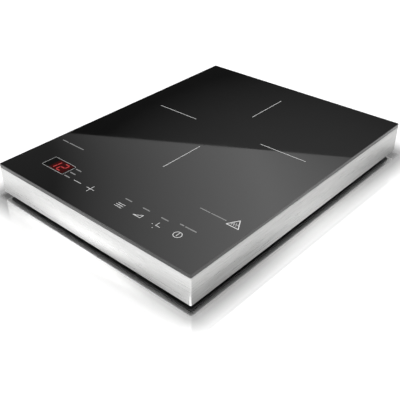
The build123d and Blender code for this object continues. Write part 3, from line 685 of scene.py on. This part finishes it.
def base_screws():
    """One cross-recessed screw, copied to every hole of the base's edge."""
    first = spin_profile("case_screw", in_metres(SCREW_OUTLINE), (0, 0, 0), 32)
    recess = [start_box("recess", (-a * MM, -b * MM, 2.0 * MM), (a * MM, b * MM, 3.6 * MM))
              for a, b in ((1.7, 0.3), (0.3, 1.7))]
    cut(first, recess)
    screws = []
    for x, y in BASE_SCREWS:
        make_active(first)
        bpy.ops.object.duplicate()
        screw = bpy.context.object
        screw.location = (x * MM, y * MM, 0)
        settle(screw)
        screws.append(screw)
    bpy.data.objects.remove(first)
    whole = join("case_screws", screws)
    smooth(whole, 30)
    whole.data.materials.append(metal("black oxide", (0.035, 0.035, 0.036), 0.42, grain_size=0.3))
    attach(whole, "chassis")
    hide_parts("base_screws")


def cord_inlet():
    """The moulded insert that closes the skirt's notch, with a rib round the cord's way in."""
    plug = start_box("inlet_insert", (88.2 * MM, 184.0 * MM, INLET_LOW.z),
                     (111.8 * MM, INLET_HIGH.y, 26.8 * MM))
    lip = start_box("lip", (INLET_LOW.x, INLET_LOW.y, 7.4 * MM), (INLET_HIGH.x, 187.9 * MM, INLET_HIGH.z))
    cut(plug, [lip], "UNION")
    way_in = start_drum("way in", (0, 0), 7.0 * MM, -10 * MM, 10 * MM, 64)
    way_in.rotation_euler = (math.pi / 2, 0, 0)
    way_in.location = (INLET_X, 186.0 * MM, INLET_Z)
    settle(way_in)
    cut(plug, [way_in])
    soften(plug, 0.3 * MM, 3)
    plug.data.materials.append(moulded("inlet plastic", (0.02, 0.02, 0.021), 0.48))
    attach(plug, "chassis")
    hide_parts("cord_inlet")


def cord_gland():
    """The soft ring in the insert's hole, grooved to hold it."""
    gland = spin_profile("turned_gland", in_metres(GLAND_OUTLINE), (INLET_X, 0, INLET_Z), 64, "Y")
    smooth(gland, 30)
    gland.data.materials.append(moulded("gland rubber", (0.02, 0.02, 0.02), 0.7, 0.6, 0.02))
    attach(gland, "chassis")
    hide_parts("cord_gland")


# ---- floor, light and view ----

POLISH_REACH = 45.0 * MM
POLISH = [(0.02, 0.96), (0.07, 0.88), (0.127, 0.76), (0.18, 0.70), (0.24, 0.68), (0.4, 0.48), (0.62, 0.2)]
POLISH_END = 0.9


def floor():
    """A plain pale floor whose polish shows only close to the hob."""
    deselect_all()
    bpy.ops.mesh.primitive_plane_add(size=14, location=(0, 0, 0))
    ground = bpy.context.object
    ground.name = "studio_floor"
    finish, shader, place = new_finish("studio floor", (0.9, 0.9, 0.9), 0.6)
    nodes = finish.node_tree.nodes
    split = add(finish, "ShaderNodeSeparateXYZ")
    wire_up(finish, (place, split.inputs[0]))
    squares = []
    for output, half in ((split.outputs["X"], HALF_X), (split.outputs["Y"], HALF_Y)):
        size = add(finish, "ShaderNodeMath", operation="ABSOLUTE")
        past = add(finish, "ShaderNodeMath", operation="SUBTRACT")
        past.inputs[1].default_value = half
        beyond = add(finish, "ShaderNodeMath", operation="MAXIMUM")
        beyond.inputs[1].default_value = 0.0
        square = add(finish, "ShaderNodeMath", operation="POWER")
        square.inputs[1].default_value = 2.0
        wire_up(finish, (output, size.inputs[0]), (size.outputs[0], past.inputs[0]),
                (past.outputs[0], beyond.inputs[0]), (beyond.outputs[0], square.inputs[0]))
        squares.append(square.outputs[0])
    total = add(finish, "ShaderNodeMath", operation="ADD")
    reach = add(finish, "ShaderNodeMath", operation="SQRT")
    wire_up(finish, (squares[0], total.inputs[0]), (squares[1], total.inputs[1]),
            (total.outputs[0], reach.inputs[0]))
    way_out = add(finish, "ShaderNodeMath", operation="DIVIDE")
    way_out.inputs[1].default_value = POLISH_REACH
    polish = add(finish, "ShaderNodeValToRGB")
    stops = polish.color_ramp.elements
    stops[0].color = (1, 1, 1, 1)
    stops[1].color = (0, 0, 0, 1)
    stops[1].position = POLISH_END
    for position, share in POLISH:
        stops.new(position).color = (share, share, share, 1)
    gloss = add(finish, "ShaderNodeBsdfGlossy")
    gloss.inputs["Color"].default_value = (0.9, 0.9, 0.9, 1)
    gloss.inputs["Roughness"].default_value = 0.035
    blend = add(finish, "ShaderNodeMixShader")
    wire_up(finish, (reach.outputs[0], way_out.inputs[0]), (way_out.outputs[0], polish.inputs["Fac"]),
            (polish.outputs["Color"], blend.inputs["Fac"]),
            (shader.outputs[0], blend.inputs[1]), (gloss.outputs[0], blend.inputs[2]),
            (blend.outputs[0], nodes["Material Output"].inputs["Surface"]))
    shader.inputs["Specular IOR Level"].default_value = 0.0
    ground.data.materials.append(finish)


# Angles in degrees, distances in widths of the glass
VIEW_AZIMUTH = 44.53
VIEW_ELEVATION = 33.10
VIEW_ROLL = -1.81
VIEW_DISTANCE = 2.613
VIEW_SIDESTEP = (-0.151, -0.207)
VIEW_LENS = 58.3
VIEW_SHIFT = (0.0775, -0.015)


def camera():
    """Looks down at the hob's right front corner."""
    azimuth, elevation, roll = (math.radians(a) for a in (VIEW_AZIMUTH, VIEW_ELEVATION, VIEW_ROLL))
    back = Vector((math.sin(azimuth) * math.cos(elevation), -math.cos(azimuth) * math.cos(elevation),
                   math.sin(elevation)))
    side = (-back).cross(Vector((0, 0, 1))).normalized()
    upward = side.cross(-back)
    right = side * math.cos(roll) + upward * math.sin(roll)
    top = upward * math.cos(roll) - side * math.sin(roll)
    width = 2 * HALF_X
    eye = (back * VIEW_DISTANCE + right * VIEW_SIDESTEP[0] + top * VIEW_SIDESTEP[1]) * width
    eye += Vector((0, 0, HOB_TOP))
    lens = bpy.data.cameras.new("view")
    lens.lens = VIEW_LENS
    lens.sensor_width = 36.0
    lens.shift_x, lens.shift_y = VIEW_SHIFT
    lens.clip_start = 0.01
    viewer = bpy.data.objects.new("view", lens)
    turn = Matrix((right, top, back)).transposed()
    viewer.matrix_world = Matrix.Translation(eye) @ turn.to_4x4()
    bpy.context.scene.collection.objects.link(viewer)
    bpy.context.scene.camera = viewer
    return eye


CARD_HEIGHT = 1.3
SHEEN_EDGE = ((-140, -89.3), (140, 76.2))


def soft_card(eye):
    """A lit card hung behind the hob: the glass mirrors its straight edge as a slanting sheen."""
    mirrored = Vector((eye.x, eye.y, 2 * HOB_TOP - eye.z))
    reach = (CARD_HEIGHT - mirrored.z) / (HOB_TOP - mirrored.z)

    def seen_from(x, y):
        point = Vector((x * MM, y * MM, HOB_TOP))
        hung = mirrored + (point - mirrored) * reach
        return Vector((hung.x, hung.y, CARD_HEIGHT))

    edge = [seen_from(x, y) for x, y in SHEEN_EDGE]
    along = (edge[1] - edge[0]).normalized()
    corners = [edge[0] - along * 0.6, edge[1] + along * 1.2]
    inward = Vector((along.y, -along.x, 0))
    corners += [corners[1] + inward * 1.6, corners[0] + inward * 1.6]
    deselect_all()
    bpy.ops.mesh.primitive_plane_add(size=1)
    card = bpy.context.object
    card.name = "soft_card"
    for vertex, corner in zip(card.data.vertices, (corners[0], corners[1], corners[3], corners[2])):
        vertex.co = corner
    finish, _, place = new_finish("card light", (0, 0, 0), 1.0)

    def measure(way, from_point):
        """How far a point of the card lies along a direction."""
        dot = add(finish, "ShaderNodeVectorMath", operation="DOT_PRODUCT")
        dot.inputs[1].default_value = way
        less = add(finish, "ShaderNodeMath", operation="SUBTRACT")
        less.inputs[1].default_value = from_point.dot(way)
        wire_up(finish, (place, dot.inputs[0]), (dot.outputs["Value"], less.inputs[0]))
        return less.outputs[0]

    def line(first, second, third, operation="MULTIPLY_ADD"):
        """First times second plus third, or another sum of three numbers."""
        node = add(finish, "ShaderNodeMath", operation=operation)
        for socket, value in zip(node.inputs, (first, second, third)):
            if isinstance(value, float):
                socket.default_value = value
            else:
                wire_up(finish, (value, socket))
        return node.outputs[0]

    length = measure(along, edge[0])
    depth = measure(inward, edge[0])
    steeper = line(depth, 0.88, 0.93)
    rising = line(line(length, 1.0, -0.65), steeper, 0.88)
    falling = line(depth, 0.99, line(length, -0.93, 2.09))
    level = line(line(rising, falling, 0.15, "SMOOTH_MIN"), 0.13, 0.05, "SMOOTH_MAX")
    lamp = add(finish, "ShaderNodeEmission")
    surface = finish.node_tree.nodes["Material Output"].inputs["Surface"]
    wire_up(finish, (level, lamp.inputs["Strength"]), (lamp.outputs[0], surface))
    card.data.materials.append(finish)


def lamp(name, place, aim, size, power):
    light = bpy.data.lights.new(name, "AREA")
    light.shape = "SQUARE"
    light.size = size
    light.energy = power
    holder = bpy.data.objects.new(name, light)
    holder.location = place
    holder.rotation_euler = (Vector(aim) - Vector(place)).to_track_quat("-Z", "Y").to_euler()
    bpy.context.scene.collection.objects.link(holder)


def surroundings():
    """The studio as gloss mirrors it: dark behind the left rear corner, paler all round."""
    world = bpy.data.worlds.new("studio")
    world.use_nodes = True
    bpy.context.scene.world = world
    nodes = world.node_tree.nodes
    links = world.node_tree.links
    nodes.clear()
    place = nodes.new("ShaderNodeTexCoord")

    def gradient(way, lowest, highest, dim, bright):
        toward = nodes.new("ShaderNodeVectorMath")
        toward.operation = "DOT_PRODUCT"
        toward.inputs[1].default_value = way
        level = nodes.new("ShaderNodeMapRange")
        for key, value in (("From Min", lowest), ("From Max", highest), ("To Min", dim), ("To Max", bright)):
            level.inputs[key].default_value = value
        links.new(place.outputs["Generated"], toward.inputs[0])
        links.new(toward.outputs["Value"], level.inputs["Value"])
        return level.outputs["Result"]

    dusk = gradient((-2.30, 3.87, 4.80), 5.97, 6.38, 0.04, 0.45)
    room = gradient((-0.62, 0.79, 0.0), 0.86, 0.45, 0.0, 0.6)
    level = nodes.new("ShaderNodeMath")
    level.operation = "MAXIMUM"
    links.new(dusk, level.inputs[0])
    links.new(room, level.inputs[1])
    studio = nodes.new("ShaderNodeBackground")
    links.new(level.outputs[0], studio.inputs["Strength"])
    plain = nodes.new("ShaderNodeBackground")
    plain.inputs["Strength"].default_value = 1.0
    ray = nodes.new("ShaderNodeLightPath")
    pick_one = nodes.new("ShaderNodeMixShader")
    out = nodes.new("ShaderNodeOutputWorld")
    links.new(ray.outputs["Is Glossy Ray"], pick_one.inputs["Fac"])
    links.new(plain.outputs[0], pick_one.inputs[1])
    links.new(studio.outputs[0], pick_one.inputs[2])
    links.new(pick_one.outputs[0], out.inputs["Surface"])


def studio():
    eye = camera()
    floor()
    soft_card(eye)
    surroundings()
    lamp("front_left_lamp", (-0.2, -1.35, 1.9), (-0.05, -0.35, 0), 0.9, 13)
    lamp("top_lamp", (0.6, -0.5, 2.2), (0, 0, 0), 1.6, 22)
    lamp("front_left_softbox", (-0.80, -0.81, 0.67), (0, -0.21, 0), 0.45, 1.6)
    lamp("right_rear_softbox", (0.75, 1.0, 0.75), (0.17, 0.03, 0.0), 0.35, 0.6)
    view = bpy.context.scene.view_settings
    view.view_transform = "Standard"
    view.look = "None"


# ---- finishes of the CAD nodes that stay ----

def give(finish, *nodes):
    for node in nodes:
        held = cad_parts[node]
        held.data.materials.clear()
        held.data.materials.append(finish)


def speckled(name, dark, light, size, roughness=0.6, depth=0.02):
    """Pressed or bonded grains, as in ferrite, mica or sintered metal."""
    finish, shader, place = new_finish(name, light, roughness)
    cells = add(finish, "ShaderNodeTexVoronoi")
    cells.inputs["Scale"].default_value = 1.0 / (size * MM)
    wire_up(finish, (place, cells.inputs["Vector"]))
    shade = tint(finish, cells.outputs["Distance"], dark, light, 0.1, 0.7)
    wire_up(finish, (shade, shader.inputs["Base Color"]))
    cloud = grain(finish, place, 120.0)
    wire_up(finish, (spread(finish, cloud, roughness - 0.08, roughness + 0.1), shader.inputs["Roughness"]))
    emboss(finish, shader, cells.outputs["Distance"], depth * MM)
    return finish


def wound(name, dark, light, turn_size, roughness, metallic, bands="RINGS", axis="Z"):
    """Wire laid side by side: rings for a flat coil, bands for a wrapped core."""
    finish, shader, place = new_finish(name, light, roughness, metallic)
    waves = add(finish, "ShaderNodeTexWave", wave_type=bands)
    if bands == "RINGS":
        waves.rings_direction = axis
    else:
        waves.bands_direction = axis
    waves.inputs["Scale"].default_value = 0.314 / (turn_size * MM)
    waves.inputs["Distortion"].default_value = 0.6
    waves.inputs["Detail"].default_value = 2.0
    strands = grain(finish, place, 1.0 / (0.35 * MM), 2.0)
    wire_up(finish, (place, waves.inputs["Vector"]))
    mixed = add(finish, "ShaderNodeMath", operation="MULTIPLY_ADD")
    mixed.inputs[1].default_value = 0.7
    share = add(finish, "ShaderNodeMath", operation="MULTIPLY")
    share.inputs[1].default_value = 0.3
    wire_up(finish, (waves.outputs["Fac"], mixed.inputs[0]), (strands, share.inputs[0]),
            (share.outputs[0], mixed.inputs[2]))
    wire_up(finish, (tint(finish, mixed.outputs[0], dark, light, 0.1, 0.8), shader.inputs["Base Color"]))
    wire_up(finish, (spread(finish, strands, roughness - 0.05, roughness + 0.12), shader.inputs["Roughness"]))
    emboss(finish, shader, mixed.outputs[0], 0.08 * MM)
    return finish


def circuit_board(name):
    """Green solder resist with straight copper tracks showing faintly through it."""
    finish, shader, place = new_finish(name, (0.01, 0.12, 0.05), 0.3)
    tracks = add(finish, "ShaderNodeTexBrick")
    tracks.offset = 0.37
    tracks.inputs["Color1"].default_value = (0.012, 0.13, 0.055, 1)
    tracks.inputs["Color2"].default_value = (0.016, 0.19, 0.075, 1)
    tracks.inputs["Mortar"].default_value = (0.006, 0.07, 0.03, 1)
    tracks.inputs["Scale"].default_value = 60.0
    tracks.inputs["Mortar Size"].default_value = 0.03
    wire_up(finish, (place, tracks.inputs["Vector"]), (tracks.outputs["Color"], shader.inputs["Base Color"]))
    cloud = grain(finish, place, 80.0)
    wire_up(finish, (spread(finish, cloud, 0.24, 0.38), shader.inputs["Roughness"]))
    emboss(finish, shader, tracks.outputs["Fac"], 0.03 * MM)
    shader.inputs["Coat Weight"].default_value = 0.3
    return finish


def shiny(name, color, roughness=0.22, mottle=0.1):
    """Glossy dipped, boxed or sleeved surfaces."""
    finish = moulded(name, color, roughness, 1.2, 0.006, mottle)
    finish.node_tree.nodes["Principled BSDF"].inputs["Coat Weight"].default_value = 0.4
    return finish


def striped_cable(name, base, stripe, period, share=0.5):
    """Insulation with a second colour spiralling along it."""
    finish, shader, place = new_finish(name, base, 0.4)
    mapping = add(finish, "ShaderNodeMapping")
    mapping.inputs["Rotation"].default_value = (0.5, 0.6, 0.8)
    waves = add(finish, "ShaderNodeTexWave", wave_type="BANDS")
    waves.inputs["Scale"].default_value = 0.314 / (period * MM)
    wire_up(finish, (place, mapping.inputs["Vector"]), (mapping.outputs["Vector"], waves.inputs["Vector"]))
    color = tint(finish, waves.outputs["Fac"], base, stripe, share - 0.02, share + 0.02)
    cloud = grain(finish, place, 200.0)
    wire_up(finish, (color, shader.inputs["Base Color"]))
    wire_up(finish, (spread(finish, cloud, 0.34, 0.5), shader.inputs["Roughness"]))
    return finish


def clear_glass(name, color, roughness):
    """Clear or tinted glass and lamp lenses."""
    finish = moulded(name, color, roughness, 1.5, 0.002, 0.05)
    shader = finish.node_tree.nodes["Principled BSDF"]
    shader.inputs["Transmission Weight"].default_value = 0.85
    return finish


# ---- the sensor's spring and lead ----

def sensor_spring(finish):
    """Five turns of round wire between the carrier and the cap."""
    low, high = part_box("sensor_spring")
    wire_r = 0.45 * MM
    turns = 5
    centre = ((low.x + high.x) / 2, (low.y + high.y) / 2)
    coil_r = (high.x - low.x) / 2 - wire_r
    deselect_all()
    bpy.ops.mesh.primitive_circle_add(vertices=10, radius=wire_r, location=(coil_r, 0, low.z + wire_r),
                                      rotation=(math.pi / 2, 0, 0))
    piece = bpy.context.object
    piece.name = "sensor_coil_spring"
    bpy.ops.object.transform_apply(location=True, rotation=True, scale=True)
    wind = piece.modifiers.new("turns", "SCREW")
    wind.axis = "Z"
    wind.angle = 2 * math.pi
    wind.iterations = turns
    wind.screw_offset = (high.z - low.z - 2 * wire_r) / turns
    wind.steps = 28
    wind.render_steps = 28
    bpy.ops.object.modifier_apply(modifier=wind.name)
    bpy.ops.object.mode_set(mode="EDIT")
    bpy.ops.mesh.select_mode(type="EDGE")
    bpy.ops.mesh.select_all(action="DESELECT")
    bpy.ops.mesh.select_non_manifold()
    bpy.ops.mesh.fill_holes(sides=0)
    bpy.ops.mesh.select_all(action="SELECT")
    bpy.ops.mesh.normals_make_consistent(inside=False)
    leave()
    piece.location = (*centre, 0)
    bpy.ops.object.transform_apply(location=True, rotation=False, scale=False)
    smooth(piece, 50)
    piece.data.materials.append(finish)
    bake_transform(piece)
    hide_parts("sensor_spring")


def sensor_lead(finish):
    """The lead goes down through the spring, level under the coil, and down into its header."""
    low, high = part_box("sensor_lead")
    bead_low, bead_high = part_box("sensor_bead")
    wire_r = 1.0 * MM
    level = 23.0 * MM
    bend = 5.5 * MM
    x = (bead_low.x + bead_high.x) / 2
    y = (bead_low.y + bead_high.y) / 2
    end_x = -9.0 * MM
    end_y = -72.0 * MM
    away = Vector((end_x - x, end_y - y)).normalized() * 6.0 * MM
    route = [
        (x, y, high.z),
        (x, y, level + bend),
        (x, y, level),
        (x + away.x, y + away.y, level),
        (end_x - away.x, end_y - away.y, level),
        (end_x, end_y, level),
        (end_x, end_y, level - bend),
        (end_x, end_y, low.z),
    ]
    deselect_all()
    bpy.ops.curve.primitive_nurbs_path_add(location=(0, 0, 0))
    piece = bpy.context.object
    piece.name = "sensor_bead_lead"
    piece.data.splines.clear()
    run = piece.data.splines.new("NURBS")
    run.points.add(len(route) - 1)
    for point, place in zip(run.points, route):
        point.co = (*place, 1.0)
    run.order_u = 3
    run.use_endpoint_u = True
    piece.data.resolution_u = 8
    piece.data.bevel_depth = wire_r
    piece.data.bevel_resolution = 3
    piece.data.use_fill_caps = True
    bpy.ops.object.convert(target="MESH")
    piece = bpy.context.object
    bpy.ops.object.mode_set(mode="EDIT")
    close_up(0.001 * MM)
    smooth(piece, 50)
    piece.data.materials.clear()
    piece.data.materials.append(finish)
    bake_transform(piece)
    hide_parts("sensor_lead")


def dress_base():
    give(moulded("base plastic", (0.011, 0.011, 0.012), 0.55), "base_shell")


def dress_fan_and_coil():
    zinc = metal("zinc plate", (0.66, 0.67, 0.70), 0.3)
    spring = metal("spring wire", (0.55, 0.55, 0.57), 0.25)
    give(moulded("fan plastic", (0.02, 0.02, 0.022), 0.42), "fan_frame", "fan_rotor")
    give(speckled("sintered bronze", (0.30, 0.19, 0.09), (0.52, 0.34, 0.17), 0.25, 0.45), "fan_bearing")
    give(wound("fan stator", (0.12, 0.12, 0.12), (0.34, 0.33, 0.32), 0.5, 0.4, 0.8, "BANDS"), "fan_stator")
    give(speckled("bonded magnet", (0.03, 0.03, 0.033), (0.07, 0.07, 0.075), 0.3), "rotor_magnet")
    give(metal("ground shaft", (0.75, 0.75, 0.76), 0.15, (8, 8, 0.4)), "fan_shaft")
    give(zinc, "fan_screws", "coil_screws", "device_screws", "power_board_screws", "control_board_screws",
         "terminal_screws")
    give(moulded("natural carrier plastic", (0.66, 0.62, 0.52), 0.5), "coil_carrier")
    give(wound("stranded copper", (0.26, 0.09, 0.03), (0.75, 0.36, 0.17), 0.5, 0.32, 0.9), "coil_winding")
    give(speckled("ferrite", (0.025, 0.025, 0.028), (0.075, 0.075, 0.08), 0.5), "ferrite_bars")
    give(speckled("mica", (0.42, 0.36, 0.25), (0.68, 0.62, 0.48), 1.2, 0.4), "mica_sheet")
    give(moulded("glazed ceramic", (0.82, 0.81, 0.77), 0.2), "sensor_cap")
    give(shiny("dipped bead", (0.30, 0.09, 0.03), 0.15), "sensor_bead")
    give(spring, "touch_springs")
    sensor_spring(spring)


def dress_boards():
    board = circuit_board("solder resist")
    epoxy = moulded("moulded epoxy", (0.02, 0.02, 0.02), 0.45)
    nylon = moulded("connector nylon", (0.74, 0.72, 0.64), 0.38)
    tinned = metal("tinned brass", (0.66, 0.60, 0.42), 0.3)
    give(board, "power_board", "control_board")
    give(metal("extruded aluminium", (0.72, 0.73, 0.74), 0.34, (0.2, 6, 6)), "heatsink")
    give(epoxy, "igbt", "bridge_rectifier", "buzzer", "board_chips")
    give(shiny("yellow film case", (0.70, 0.44, 0.05)), "link_capacitor", "mains_filter_capacitor")
    give(shiny("grey film case", (0.36, 0.37, 0.39)), "resonance_capacitor")
    give(moulded("coated ring core", (0.03, 0.18, 0.11), 0.4), "choke_core")
    enamel = wound("enamelled wire", (0.32, 0.10, 0.04), (0.74, 0.34, 0.15), 0.9, 0.25, 0.85, "BANDS", "X")
    give(enamel, "choke_winding")
    give(clear_glass("fuse glass", (0.85, 0.87, 0.85), 0.05), "fuse")
    give(tinned, "fuse_clips", "coil_terminals")
    give(shiny("blue dip", (0.02, 0.09, 0.40), 0.3), "varistor")
    give(shiny("black sleeve", (0.018, 0.018, 0.03), 0.28), "electrolytic_capacitors")
    tape = wound("yellow tape", (0.45, 0.32, 0.04), (0.78, 0.60, 0.12), 3.0, 0.35, 0.0, "BANDS", "Z")
    give(tape, "supply_transformer")
    give(nylon, "board_headers", "terminal_block")
    give(shiny("display case", (0.012, 0.012, 0.013), 0.3), "display_module")
    give(glow("display segments", (0.9, 0.03, 0.02), 0.6, (0.3, 0.02, 0.02)), "display_digits")
    give(clear_glass("red lens", (0.7, 0.04, 0.03), 0.1), "indicator_leds")


def dress_wires():
    give(moulded("brown silicone", (0.13, 0.05, 0.02), 0.45), "mains_wires")
    give(striped_cable("earth insulation", (0.05, 0.28, 0.03), (0.72, 0.62, 0.03), 3.0), "earth_wire")
    sleeve = wound("woven sleeve", (0.50, 0.49, 0.45), (0.82, 0.81, 0.76), 0.6, 0.8, 0.0, "BANDS", "X")
    give(sleeve, "coil_leads")
    give(striped_cable("ribbon insulation", (0.30, 0.31, 0.33), (0.52, 0.53, 0.55), 1.3), "ribbon_cable")
    sleeving = moulded("black insulation", (0.015, 0.015, 0.015), 0.4)
    give(sleeving, "fan_lead")
    sensor_lead(sleeving)


studio()
dress_base()
dress_fan_and_coil()
dress_boards()
dress_wires()
glass_top()
white_ink = moulded("pale grey ink", (0.5, 0.5, 0.5), 0.5, 0.3, 0.004, 0.05)
zone_cross(white_ink)
display_frame(moulded("frame ink", (0.3, 0.3, 0.3), 0.5, 0.3, 0.004, 0.05))
key_icons(white_ink)
caption_bars(moulded("dim grey ink", (0.17, 0.17, 0.17), 0.5, 0.3, 0.004, 0.05))
hot_mark(white_ink)
display()
seal_bead()
skirt()
feet()
base_screws()
cord_inlet()
cord_gland()
